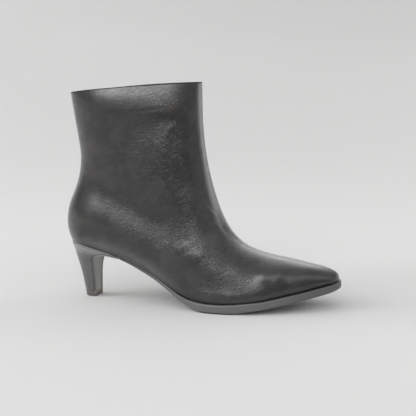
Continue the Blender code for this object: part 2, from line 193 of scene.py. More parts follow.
# Folds of the leather, seen from the side. Columns, in millimetres: where each starts and ends, how far
# its middle bows up, its half width, and its height, which is negative for a trough. Side is -1 on the
# outer side of the foot and 1 on the inner side.
Fold = namedtuple("Fold", "name side x0 z0 x1 z1 bow width height")
FOLD_SPANS = 16
FOLD_FADE = 0.35
FOLD_TURN = 10.0
FOLDS = (
    Fold("collar edge", -1, 20.0, 194.6, 112.0, 201.6, 1.5, 13.0, -2.50),
    Fold("collar roll", -1, 18.0, 163.6, 136.0, 172.1, 1.0, 8.4, 0.75),
    Fold("under the collar", -1, 36.0, 160.5, 130.0, 167.0, -1.0, 6.0, -0.64),
    Fold("shaft sweep", -1, 84.0, 126.0, 112.0, 170.0, 0.0, 11.0, 0.80),
    Fold("shaft swell", -1, 50.0, 127.0, 140.0, 136.0, 0.0, 22.0, 2.00),
    Fold("shaft hollow", -1, 58.0, 156.0, 82.0, 118.0, 0.0, 12.0, -0.70),
    Fold("ankle hollow", -1, 20.0, 126.0, 66.0, 110.0, 3.0, 13.0, -0.60),
    Fold("counter top", -1, 0.0, 86.0, 110.0, 36.0, 8.0, 16.0, 2.90),
    Fold("above the counter", -1, 2.0, 114.0, 116.0, 58.0, 8.0, 16.0, -2.40),
    Fold("arch puff", -1, 80.0, 54.0, 150.0, 42.0, 2.0, 10.0, 1.90),
    Fold("arch crease", -1, 80.0, 50.0, 108.0, 68.0, 0.0, 3.4, -0.40),
    Fold("arch crease 2", -1, 92.0, 48.0, 126.0, 68.0, 0.0, 3.2, -0.38),
    Fold("arch crease 3", -1, 106.0, 46.0, 136.0, 62.0, 0.0, 3.2, -0.32),
    Fold("instep hollow", -1, 74.0, 80.0, 166.0, 59.0, 2.0, 16.0, -2.30),
    Fold("flex ridge", -1, 118.0, 22.0, 154.0, 43.0, 1.0, 5.0, 0.30),
    Fold("flex crease", -1, 130.0, 24.0, 164.0, 42.0, 1.0, 3.0, -0.20),
    Fold("flex crease 2", -1, 116.0, 34.0, 148.0, 54.0, 1.0, 3.0, -0.20),
    Fold("flex roll", -1, 132.0, 35.5, 170.0, 38.5, 0.0, 6.0, 1.00),
    Fold("ball puff", -1, 162.0, 15.0, 194.0, 16.0, 0.0, 7.0, 0.80),
    Fold("ball crown", -1, 173.0, 34.5, 205.0, 33.5, 0.0, 7.0, 1.80),
    Fold("ball streak", -1, 100.0, 20.0, 182.0, 10.0, 1.0, 6.0, 1.90),
    Fold("inner collar roll", 1, 26.0, 172.0, 126.0, 178.0, 1.0, 10.0, 0.95),
    Fold("inner counter", 1, 10.0, 94.0, 92.0, 52.0, 3.0, 12.0, 1.30),
    Fold("inner ankle", 1, 28.0, 130.0, 108.0, 104.0, 3.0, 12.0, -0.90),
    Fold("inner flex", 1, 122.0, 31.0, 160.0, 52.0, 1.0, 5.0, 0.50),
    Fold("inner flex crease", 1, 128.0, 27.0, 166.0, 48.0, 1.0, 3.2, -0.38),
    Fold("inner arch", 1, 68.0, 59.0, 126.0, 53.0, 2.0, 9.0, -0.55),
)

# Fine lines pressed into the finish of the outer side, seen from the side. Columns, in millimetres: where
# each starts and ends, its half width, and its height, which is negative for a crease.
Crinkle = namedtuple("Crinkle", "name x0 z0 x1 z1 half_width height")
CRINKLES = (
    Crinkle("mid shaft", 64.0, 134.6, 83.0, 135.4, 1.6, 0.10),
    Crinkle("low shaft", 72.0, 118.2, 86.0, 119.2, 1.5, 0.10),
    Crinkle("low shaft front", 84.0, 120.6, 98.0, 118.2, 1.6, 0.12),
    Crinkle("ankle", 66.0, 94.0, 107.0, 102.6, 3.0, 0.10),
    Crinkle("shaft wing", 87.0, 137.0, 111.0, 166.0, 4.0, 0.22),
    Crinkle("shaft wing side", 72.0, 141.0, 84.0, 147.0, 3.0, 0.14),
    Crinkle("collar crease", 58.0, 168.4, 106.0, 174.2, 3.2, -0.30),
    Crinkle("arch valley", 106.0, 46.0, 126.0, 56.0, 2.0, -0.16),
    Crinkle("arch ridge", 100.0, 53.0, 124.0, 66.0, 2.4, 0.16),
    Crinkle("flex valley", 144.0, 32.0, 158.0, 39.0, 2.0, -0.14),
)

# Scratches that show paler than the leather, with the same columns, and how pale each is
SCRATCHES = (
    Crinkle("instep scratch", 130.3, 93.2, 141.6, 77.4, 0.45, 0.16),
    Crinkle("ankle speck", 120.4, 104.5, 120.7, 104.7, 0.55, 0.25),
)

# Places where the finish is broken into fine wrinkles. Columns, in millimetres: middle, reach, strength.
Patch = namedtuple("Patch", "name x z reach strength")
PATCHES = (
    Patch("arch", 106.0, 60.0, 24.0, 1.00),
    Patch("flex", 146.0, 40.0, 18.0, 0.95),
    Patch("ball", 166.0, 27.0, 10.0, 0.50),
    Patch("ball low", 140.0, 20.0, 18.0, 0.70),
    Patch("shaft", 86.0, 140.0, 24.0, 0.45),
    Patch("shaft low", 84.0, 118.0, 20.0, 0.40),
    Patch("collar", 90.0, 180.0, 24.0, 0.30),
    Patch("counter", 66.0, 70.0, 22.0, 0.50),
)

# Front seam, where the outer panel laps over the inner one. Columns, in millimetres: distance from the
# middle, height of the leather on the outer and on the inner side, and whether the inner side takes painted
# shade.
Groove = namedtuple("Groove", "away outer inner raw")
SEAM = (
    Groove(0.00, 0.00, 0.00, False),
    Groove(0.25, 0.22, -0.45, True),
    Groove(0.50, 0.30, -0.55, True),
    Groove(0.80, 0.28, -0.55, True),
    Groove(1.20, 0.20, -0.52, True),
    Groove(1.80, 0.12, -0.45, True),
    Groove(2.80, 0.05, -0.35, True),
    Groove(4.20, 0.01, -0.18, False),
    Groove(6.50, 0.00, 0.00, False),
)
SEAM_COLUMN = UPPER_COLUMNS + len(SEAM) - 1
SEAM_SPAN = slice(SEAM_COLUMN, SEAM_COLUMN + len(SEAM))
BACK_SEAM_WIDTH = 0.9
BACK_SEAM_DEPTH = 0.35
BACK_SEAM_REACH = 25.0


def natural_spline(knots, values):
    """Returns the smoothest cubic curve through the values, as a function of the knots' coordinate."""
    x = np.asarray(knots, float)
    y = np.asarray(values, float)
    n = len(x)
    step = np.diff(x)
    rise = np.diff(y) / step
    system = np.eye(n)
    wanted = np.zeros(n)
    for i in range(1, n - 1):
        system[i, i - 1] = step[i - 1]
        system[i, i] = 2.0 * (step[i - 1] + step[i])
        system[i, i + 1] = step[i]
        wanted[i] = 3.0 * (rise[i] - rise[i - 1])
    bend = np.linalg.solve(system, wanted)

    def curve(at):
        at = np.clip(np.asarray(at, float), x[0], x[-1])
        i = np.clip(np.searchsorted(x, at) - 1, 0, n - 2)
        past = at - x[i]
        slope = rise[i] - step[i] * (2.0 * bend[i] + bend[i + 1]) / 3.0
        twist = (bend[i + 1] - bend[i]) / (3.0 * step[i])
        return y[i] + past * (slope + past * (bend[i] + past * twist))

    return curve


def section_curve(column, size):
    """A column of SECTIONS along the boot, in millimetres."""
    places = [row.along * LENGTH for row in SECTIONS]
    return natural_spline(places, [getattr(row, column) * size for row in SECTIONS])


swing = section_curve("swing", BALL_WIDTH)
outer_half = section_curve("outer", BALL_WIDTH)
inner_half = section_curve("inner", BALL_WIDTH)
belly_half = section_curve("belly", BALL_WIDTH)
seat_height = section_curve("seat", HEEL_HEIGHT)
sole_depth = section_curve("sole", SOLE_EDGE)
shaft_half = natural_spline([row.height * SHAFT_HEIGHT for row in SHAFT], [row.half_width for row in SHAFT])


def feather_height(x):
    """Height of the feather line, on top of the upright foot that the upper stands on the seat with."""
    return seat_height(x) + MEETING_GAP + FOOT


def ease(share):
    """A step from 0 to 1 with a soft start and end."""
    share = np.clip(share, 0.0, 1.0)
    return share * share * (3.0 - 2.0 * share)


def swell_out(share):
    """A step from 0 to 1 that starts steeply and ends softly."""
    return 1.0 - (1.0 - np.clip(share, 0.0, 1.0)) ** BELLY_ROUND


def tuck(x):
    """How far the upper is drawn in where it meets the sole: not at the heel, and fully at the forefoot."""
    return TUCK * ease((x - TUCK_FROM) / (TUCK_FULL - TUCK_FROM))


class MiddleLine:
    """The front or back of the upper seen from the side, run along from 0 at the sole to 1 at the collar."""

    SAMPLES = 600

    def __init__(self, rows):
        x = np.array([row.along * LENGTH for row in rows])
        z = np.array([row.height * SHAFT_HEIGHT for row in rows])
        z[0] = feather_height(x[0])
        run = np.concatenate([[0.0], np.cumsum(np.hypot(np.diff(x), np.diff(z)))])
        run /= run[-1]
        self.x = natural_spline(run, x)
        self.z = natural_spline(run, z)
        self.reach = natural_spline(run, [row.reach for row in rows])
        self.bluntness = natural_spline(run, [row.bluntness for row in rows])
        self.sampled = np.linspace(0.0, 1.0, self.SAMPLES)
        self.points = np.stack([self.x(self.sampled), self.z(self.sampled)], axis=-1)

    def nearest(self, points):
        """Distance from each point to the line, and how far along the line the nearest place is."""
        starts = self.points[:-1]
        spans = self.points[1:] - starts
        to_points = points[:, None, :] - starts[None, :, :]
        share = np.clip((to_points * spans).sum(-1) / (spans * spans).sum(-1), 0.0, 1.0)
        gaps = np.linalg.norm(to_points - share[..., None] * spans, axis=-1)
        best = gaps.argmin(axis=1)
        rows = np.arange(len(points))
        along = (best + share[rows, best]) / (self.SAMPLES - 1)
        return gaps[rows, best], along

    def rounding(self, points):
        """How much of the full width the wall has reached at each point, from 0 on the line to 1 inside."""
        distance, along = self.nearest(points)
        blunt = self.bluntness(along)
        left = 1.0 - np.clip(distance / self.reach(along), 0.0, 1.0)
        return (1.0 - left**blunt) ** (1.0 / blunt)


front_line = MiddleLine(FRONT)
back_line = MiddleLine(BACK)


def half_widths(points):
    """Outer and inner half width of the upper at points of its side view."""
    x = points[:, 0]
    z = points[:, 1]
    above = np.maximum(z - feather_height(x), 0.0)
    rounding = front_line.rounding(points) * back_line.rounding(points)
    widths = []
    for feather in (outer_half, inner_half):
        width = feather(x) - tuck(x) * np.exp(-above / TUCK_RISE)
        width = width + (belly_half(x) - width) * swell_out(above / BELLY_RISE)
        width = width + (shaft_half(z) - width) * ease((z - SHAFT_FROM) / (SHAFT_FULL - SHAFT_FROM))
        widths.append(width * rounding)
    return widths


def upper_path(level, shares):
    """Side view of one ring of the upper, from its back to its front. Level 0 lies on the sole's feather
    line and level 1 is the collar."""
    back = np.array([back_line.x(level), back_line.z(level)])
    front = np.array([front_line.x(level), front_line.z(level)])
    path = back + shares[:, None] * (front - back)
    sole_back = back_line.points[0]
    sole_front = front_line.points[0]
    sole_line = sole_back + shares[:, None] * (sole_front - sole_back)
    sag = feather_height(sole_line[:, 0]) - sole_line[:, 1]
    path[:, 1] += sag * (1.0 - level) ** ARCH_FADE
    path[:, 1] += COLLAR_CROWN * 4.0 * shares * (1.0 - shares) * level**ARCH_FADE
    return path


def upper_shares(level):
    """Places along a ring from back to front, crowded at both ends, with those of the seam at its front."""
    probe = 1e-4
    blunt = float(front_line.bluntness(level))
    width = float(half_widths(upper_path(level, np.array([1.0 - probe])))[0][0])
    seam = 1.0 - probe * (np.array([row.away for row in reversed(SEAM)]) / width) ** blunt
    turn = math.acos(1.0 - 2.0 * seam[0])
    body = 0.5 - 0.5 * np.cos(np.linspace(0.0, turn, UPPER_COLUMNS, endpoint=False))
    return np.concatenate([body, seam])


def upper_row(level):
    """One ring of the upper's smooth form: along its outer side to the front, and back along the inner."""
    path = upper_path(level, upper_shares(level))
    outer, inner = half_widths(path)
    middle = swing(path[:, 0])
    outer_side = np.column_stack([path[:, 0], middle - outer, path[:, 1]])
    inner_side = np.column_stack([path[:, 0], middle + inner, path[:, 1]])
    return np.concatenate([outer_side, inner_side[-2:0:-1]])


def grid_normals(grid):
    """Directions square to a grid of points whose columns close into rings."""
    around = np.roll(grid, -1, axis=1) - np.roll(grid, 1, axis=1)
    up = np.gradient(grid, axis=0)
    normal = np.cross(around, up)
    return normal / np.linalg.norm(normal, axis=2, keepdims=True)


def fold_shape(fold, x, z):
    """Height of a fold at points of the side view, as a share of its full height. It follows a bowed line,
    falls away on both sides and fades towards its ends."""
    share = np.linspace(0.0, 1.0, FOLD_SPANS + 1)
    line_x = fold.x0 + share * (fold.x1 - fold.x0)
    line_z = fold.z0 + share * (fold.z1 - fold.z0) + 4.0 * fold.bow * share * (1.0 - share)
    gap = np.full(x.shape, np.inf)
    place = np.zeros(x.shape)
    for i in range(FOLD_SPANS):
        span_x = line_x[i + 1] - line_x[i]
        span_z = line_z[i + 1] - line_z[i]
        along = ((x - line_x[i]) * span_x + (z - line_z[i]) * span_z) / (span_x**2 + span_z**2)
        along = np.clip(along, 0.0, 1.0)
        away = np.hypot(x - line_x[i] - along * span_x, z - line_z[i] - along * span_z)
        closer = away < gap
        gap = np.where(closer, away, gap)
        place = np.where(closer, (i + along) / FOLD_SPANS, place)
    ends = ease(place / FOLD_FADE) * ease((1.0 - place) / FOLD_FADE)
    return ends * np.exp(-((gap / fold.width) ** 2))


def fold_relief(grid):
    """Height of the leather's folds at each point of the upper."""
    x, y, z = grid[..., 0], grid[..., 1], grid[..., 2]
    relief = np.zeros(x.shape)
    for fold in FOLDS:
        beside = ease(fold.side * (y - swing(x)) / FOLD_TURN)
        relief += fold.height * beside * fold_shape(fold, x, z)
    return relief


def seam_relief(grid):
    """Height of the leather at the lapped front seam and at the closed seam up the back."""
    aside = np.abs(grid[..., 1]) / BACK_SEAM_WIDTH
    at_back = grid[..., 0] < back_line.x(0.0) + BACK_SEAM_REACH
    lap = np.zeros(grid.shape[:2])
    for i, row in enumerate(SEAM):
        lap[:, SEAM_COLUMN + i] = row.inner
        lap[:, SEAM_COLUMN - i] = row.outer
    return lap - BACK_SEAM_DEPTH * np.exp(-(aside**2)) * at_back


def patch_strength(grid):
    """How far the finish is broken into fine wrinkles at each point of the upper."""
    strength = np.zeros(grid.shape[:2])
    for patch in PATCHES:
        away = np.hypot(grid[..., 0] - patch.x, grid[..., 2] - patch.z) / patch.reach
        strength = np.maximum(strength, patch.strength * np.exp(-(away**2)))
    return strength


def placed(points):
    """Points in the frame's metres."""
    return (np.asarray(points) - CENTRE) * MM


def linked(name, data):
    """A new object in the scene."""
    made = bpy.data.objects.new(name, data)
    bpy.context.scene.collection.objects.link(made)
    return made


def mesh_object(name, points, faces, materials, face_material=None):
    """A smooth piece of the boot from its points and faces."""
    data = bpy.data.meshes.new(name)
    data.from_pydata(placed(points).tolist(), [], faces)
    data.shade_smooth()
    for surface in materials:
        data.materials.append(surface)
    if face_material is not None:
        data.polygons.foreach_set("material_index", np.asarray(face_material, np.int32))
    data.validate()
    return linked(name, data)


def closed_ring(x, outer, inner, z):
    """A ring of points along an outer edge from back to front, and back along the inner edge."""
    outer_side = np.column_stack([x, outer, z])
    inner_side = np.column_stack([x, inner, z])
    return np.concatenate([outer_side, inner_side[::-1]])


def ring_faces(rows, columns, closed_rows=False):
    """Quads between neighbouring rings of a grid, numbered row by row."""
    faces = []
    for row in range(rows if closed_rows else rows - 1):
        low = row * columns
        high = ((row + 1) % rows) * columns
        for i in range(columns):
            j = (i + 1) % columns
            faces.append((low + i, low + j, high + j, high + i))
    return faces


def add_attribute(made, name, values):
    """Keeps a number for each point of a piece, for its material to read."""
    layer = made.data.attributes.new(name, "FLOAT", "POINT")
    layer.data.foreach_set("value", np.asarray(values, np.float32).ravel())


def make_upper(leather, inside, seam_painted_shade):
    """The upper as one closed wall: its outer face with folds and seams, a rolled collar and its lining."""
    levels = np.linspace(0.0, 1.0, UPPER_ROWS) ** EDGE_GATHER
    form = np.array([upper_row(level) for level in levels])
    foot = form[:1] - np.array([0.0, 0.0, FOOT + MEETING_GAP])
    form = np.concatenate([foot, form])
    normal = grid_normals(form)
    normal[0, :, 2] = 0.0
    normal[0] /= np.linalg.norm(normal[0], axis=1, keepdims=True)
    folded = form + normal * fold_relief(form)[..., None]
    outer = folded + normal * seam_relief(form)[..., None]
    lining = folded - normal * (WALL + LINING_CLEAR)
    half = 0.5 * WALL
    middle = outer[-1] - normal[-1] * half
    upwards = np.array([0.0, 0.0, 1.0])
    rolled = []
    for turn in np.radians(COLLAR_TURNS_DEG):
        rolled.append(middle + half * (math.cos(turn) * normal[-1] + math.sin(turn) * upwards))
    inner = lining[::-1][::LINING_EVERY]
    if (len(form) - 1) % LINING_EVERY:
        inner = np.concatenate([inner, lining[:1]])
    grid = np.concatenate([outer, np.array(rolled), inner])
    rows, columns = grid.shape[:2]
    faces = ring_faces(rows, columns, closed_rows=True)
    # Faces of the inner panel's strip beside the front seam take the dark matt finish of painted shade.
    raw = np.zeros(columns, bool)
    raw[SEAM_SPAN] = [row.raw for row in SEAM]
    materials = (leather, inside, seam_painted_shade)
    kinds = np.full((rows, columns), materials.index(leather))
    kinds[:, raw & np.roll(raw, -1)] = materials.index(seam_painted_shade)
    kinds[len(outer) - 1 :] = materials.index(inside)
    upper = mesh_object("upper_leather", grid.reshape(-1, 3), faces, materials, kinds.ravel())
    add_attribute(upper, "wrinkle", patch_strength(grid))
    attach(upper, "root")
    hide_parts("upper")


def ledge(x):
    """How far the sole stands out past the upper: nothing at the waist, a ledge round the forefoot."""
    return LEDGE * ease((x - LEDGE_FROM) / (LEDGE_FULL - LEDGE_FROM))


def sole_sides(inset):
    """Outline of the outsole drawn in by the inset: places along it, its outer and its inner edge."""
    shares = np.linspace(0.0, 1.0, SOLE_COLUMNS + 1)
    shares = 1.0 - (1.0 - shares) ** SOLE_TIP_CROWDING
    start = SOLE_START + min(inset, SOLE_START_INSET)
    end = SOLE_END - inset
    x = start + shares * (end - start)
    left = 1.0 - np.clip((end - x) / SOLE_TIP_REACH, 0.0, 1.0)
    tip = np.sqrt(1.0 - left * left)
    outer = (outer_half(x) + ledge(x) - inset) * tip
    inner = (inner_half(x) + ledge(x) - inset) * tip
    return x, swing(x) - outer, swing(x) + inner


def sole_bottom(x):
    """Underside of the outsole, which is flat on the floor under the ball."""
    return np.maximum(seat_height(x) - sole_depth(x), 0.0)


def bevel_share(x):
    """How much of their full size the outsole's bevels have, which are smaller where it is thin."""
    return np.minimum(sole_depth(x) / SOLE_EDGE, 1.0)


def sole_rings():
    """Rings of the outsole from its underside to its top: places along each, its outer and its inner edge,
    and its height."""
    rings = []
    for turn in np.radians(SOLE_BEVEL_TURNS_DEG):
        x, outer, inner = sole_sides(SOLE_BEVEL * (1.0 - math.sin(turn)))
        lift = SOLE_BEVEL * (1.0 - math.cos(turn))
        rings.append((x, outer, inner, sole_bottom(x) + lift * bevel_share(x)))
    x, outer, inner = sole_sides(0.0)
    upright = sole_depth(x) - SOLE_BEVEL - SOLE_TOP_BEVEL
    for share in SOLE_EDGE_SHARES:
        rings.append((x, outer, inner, sole_bottom(x) + SOLE_BEVEL + share * upright))
    for turn in np.radians(SOLE_TOP_TURNS_DEG):
        x, outer, inner = sole_sides(SOLE_TOP_BEVEL * (1.0 - math.cos(turn)))
        drop = SOLE_TOP_BEVEL * (1.0 - math.sin(turn))
        rings.append((x, outer, inner, seat_height(x) - drop * bevel_share(x)))
    return rings


def strip_cap(x, outer, inner, z):
    """A face that crosses a ring of the outsole from side to side in strips, as a grid of points."""
    share = np.linspace(0.0, 1.0, SOLE_STRIPS + 1)
    y = outer[:, None] + share[None, :] * (inner - outer)[:, None]
    return np.stack([np.broadcast_to(x[:, None], y.shape), y, np.broadcast_to(z[:, None], y.shape)], axis=-1)


def grid_faces(first, rows, columns, flip):
    """Quads of an open grid whose points are numbered from the first, row by row."""
    faces = []
    for row in range(rows - 1):
        for i in range(columns - 1):
            a = first + row * columns + i
            quad = (a, a + 1, a + columns + 1, a + columns)
            faces.append(quad[::-1] if flip else quad)
    return faces


def merge_points(made, sharp_deg):
    """Joins points that fall together, such as the two sides of a ring where they meet, and keeps the edges
    that turn by more than the angle sharp."""
    shape = bmesh.new()
    shape.from_mesh(made.data)
    bmesh.ops.remove_doubles(shape, verts=shape.verts, dist=MERGE_DISTANCE)
    bmesh.ops.dissolve_degenerate(shape, edges=shape.edges, dist=SHORTEST_EDGE)
    bmesh.ops.recalc_face_normals(shape, faces=shape.faces)
    shape.to_mesh(made.data)
    shape.free()
    made.data.set_sharp_from_angle(angle=math.radians(sharp_deg))


def make_outsole(rubber):
    """The outsole, with rounded edges and a plain underside."""
    rings = sole_rings()
    grid = np.array([closed_ring(*ring) for ring in rings])
    rows, columns = grid.shape[:2]
    points = [grid.reshape(-1, 3)]
    faces = ring_faces(rows, columns)
    first = rows * columns
    for ring, flip in ((rings[0], False), (rings[-1], True)):
        cap = strip_cap(*ring)
        points.append(cap.reshape(-1, 3))
        faces += grid_faces(first, cap.shape[0], cap.shape[1], flip)
        first += cap.shape[0] * cap.shape[1]
    points = np.concatenate(points)
    sole = mesh_object("outsole_rubber", points, faces, (rubber,))
    add_attribute(sole, "drop", seat_height(points[:, 0]) - points[:, 2])
    merge_points(sole, SOLE_SHARP_DEG)
    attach(sole, "root")
    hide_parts("outsole")


# Section of the heel's breast from its corner inwards. Columns, in millimetres: distance from the corner,
# and how far the cover is pressed in.
Bead = namedtuple("Bead", "away pressed")
BREAST = (
    Bead(0.30, -0.06),
    Bead(0.70, -0.04),
    Bead(1.00, 0.16),
    Bead(1.30, 0.30),
    Bead(1.80, 0.32),
    Bead(2.60, 0.32),
)
PANEL_CROWN = -0.40
PANEL_DISTANCE = -20.0

# Levels of the heel, from 0 at its foot to 1 at its rim, where the breast starts to turn under the lip, has
# turned, and has lost its panel
BREAST_TURNS = 0.30
BREAST_FADES = 0.60
BREAST_ENDS = 0.80

heel_curves = {
    column: natural_spline(np.linspace(0.0, 1.0, len(HEEL)), [getattr(row, column) for row in HEEL])
    for column in Flare._fields[1:]
}


def heel_sides(level):
    """The outer and inner side of one ring of the heel, from its back to the corners of its breast."""
    back_x, back_z, front_x, front_z, width, seat_curve, drop = (
        float(heel_curves[column](level)) for column in Flare._fields[1:]
    )
    front_x = min(front_x, HEEL[-1].front_x)
    seat_curve = min(max(seat_curve, 0.0), 1.0)
    shares = 1.0 - np.cos(np.linspace(0.0, 0.5 * math.pi, HEEL_COLUMNS + 1))
    x = back_x + shares * (front_x - back_x)
    chord = back_z + shares * (front_z - back_z)
    z = chord + (seat_height(x) - drop - chord) * seat_curve
    reach = HEEL_REACH * width
    left = 1.0 - np.clip((x - back_x) / min(reach, front_x - back_x), 0.0, 1.0)
    half = np.sqrt(1.0 - left * left)
    on_seat = float(ease(seat_curve))
    skew = BREAST_SKEW * (1.0 - on_seat) * shares
    sides = []
    for sign, seat_half in ((-1.0, outer_half), (1.0, inner_half)):
        y = sign * (width + (seat_half(x) + HEEL_LEDGE - width) * on_seat) * half
        sides.append(np.column_stack([x + skew * y, y, z]))
    return sides


def heel_row(level):
    """One ring of the heel, closed across its breast."""
    outer, inner = heel_sides(level)
    turned = 0.5 * math.pi * float(ease((level - BREAST_TURNS) / (BREAST_FADES - BREAST_TURNS)))
    fade = 1.0 - float(ease((level - BREAST_FADES) / (BREAST_ENDS - BREAST_FADES)))
    inwards = fade * np.array([-math.cos(turned), 0.0, math.sin(turned)])
    across = inner[-1] - outer[-1]
    length = np.linalg.norm(across)
    near = [outer[-1] + across * row.away / length + inwards * row.pressed for row in BREAST]
    far = [inner[-1] - across * row.away / length + inwards * row.pressed for row in reversed(BREAST)]
    panel = outer[-1] + 0.5 * across + inwards * PANEL_CROWN
    return np.concatenate([outer, near, [panel], far, inner[::-1]])


def capped(name, rows, materials, sharp_deg, numbers=None):
    """A closed piece from rings of points, with its first and last ring crossed by strips."""
    grid = np.array(rows)
    count, columns = grid.shape[:2]
    faces = ring_faces(count, columns)
    last = (count - 1) * columns
    for i in range((columns - 1) // 2):
        j = columns - 1 - i
        around = list(dict.fromkeys((i, i + 1, j - 1, j)))
        faces.append(tuple(reversed(around)))
        faces.append(tuple(last + k for k in around))
    made = mesh_object(name, grid.reshape(-1, 3), faces, materials)
    for attribute, values in (numbers or {}).items():
        add_attribute(made, attribute, values)
    merge_points(made, sharp_deg)
    return made


def breast_distance(grid):
    """Distance of each point of the heel from the edge of its breast, negative on the breast itself."""
    side = HEEL_COLUMNS + 1
    distance = np.full(grid.shape[:2], PANEL_DISTANCE)
    for first, step, corner in ((0, 1, side - 1), (grid.shape[1] - 1, -1, grid.shape[1] - side)):
        edge = grid[:, corner][:, [0, 2]]
        for column in range(first, corner + step, step):
            away = grid[:, column][:, None, [0, 2]] - edge[None, :, :]
            distance[:, column] = np.linalg.norm(away, axis=2).min(axis=1)
        for i, row in enumerate(BREAST):
            distance[:, corner + step * (i + 1)] = -row.away
    return distance


def make_heel(cover):
    """The covered heel, whose breast is a panel inside a beaded edge."""
    base = (TIP_HEIGHT + MEETING_GAP) / HEEL[1].back_z / (len(HEEL) - 1)
    levels = base + (1.0 - base) * np.linspace(0.0, 1.0, HEEL_ROWS)
    grid = np.array([heel_row(level) for level in levels])
    numbers = {"edge": breast_distance(grid), "drop": seat_height(grid[..., 0]) - grid[..., 2]}
    heel = capped("heel_cover", grid, (cover,), HEEL_SHARP_DEG, numbers)
    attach(heel, "root")
    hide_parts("heel")


# Rings of the top piece and of the insole from below. Columns: share of the piece's height, and how far each
# is drawn in, in millimetres.
Ring = namedtuple("Ring", "share inset")
TIP_RINGS = (
    Ring(0.00, 0.70),
    Ring(0.02, 0.35),
    Ring(0.06, 0.12),
    Ring(0.14, 0.00),
    Ring(0.50, 0.00),
    Ring(0.90, 0.00),
    Ring(1.00, 0.25),
)
INSOLE_RINGS = (
    Ring(0.00, 0.00),
    Ring(0.65, 0.00),
    Ring(0.85, 0.12),
    Ring(0.97, 0.40),
    Ring(1.00, 0.90),
)


def make_tip(rubber):
    """The heel's top piece, with its lower edge rounded by wear."""
    rise = TIP_HEIGHT / HEEL[1].back_z / (len(HEEL) - 1)
    low = np.concatenate([heel_sides(0.0)[0], heel_sides(0.0)[1][::-1]])
    high = np.concatenate([heel_sides(rise)[0], heel_sides(rise)[1][::-1]])
    middle = low.mean(axis=0)
    rows = []
    for share, inset in TIP_RINGS:
        ring = low + share * (high - low)
        away = np.linalg.norm((ring - middle)[:, :2], axis=1)[:, None]
        ring[:, :2] += (middle - ring)[:, :2] * inset / away
        rows.append(ring)
    tip = capped("heel_top_piece", rows, (rubber,), TIP_SHARP_DEG)
    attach(tip, "root")
    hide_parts("heel_tip")


def insole_sides(draw_in):
    """Outline of the insole inside the upper's wall: places along it, its outer and its inner edge."""
    inset = WALL + TUCK + INSOLE_CLEAR + draw_in
    shares = 0.5 - 0.5 * np.cos(np.linspace(0.0, math.pi, INSOLE_COLUMNS + 1))
    start = BACK[0].along * LENGTH + WALL + INSOLE_CLEAR + draw_in
    end = FRONT[0].along * LENGTH - WALL - INSOLE_TOE_CLEAR - draw_in
    x = start + shares * (end - start)
    points = np.column_stack([x, feather_height(x) + INSOLE_THICK])
    rounding = front_line.rounding(points) * back_line.rounding(points)
    closing = np.sqrt(1.0 - np.abs(2.0 * shares - 1.0) ** INSOLE_END_BLUNTNESS)
    outer = np.maximum(outer_half(x) * rounding - inset, 0.0) * closing
    inner = np.maximum(inner_half(x) * rounding - inset, 0.0) * closing
    return x, swing(x) - outer, swing(x) + inner


def make_insole(sock):
    """The insole with a soft rounded edge."""
    loops = []
    for share, inset in INSOLE_RINGS:
        x, outer, inner = insole_sides(inset)
        loops.append(closed_ring(x, outer, inner, seat_height(x) + MEETING_GAP + share * INSOLE_THICK))
    insole = capped("insole_sock", loops, (sock,), INSOLE_SHARP_DEG)
    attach(insole, "root")
    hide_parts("insole")


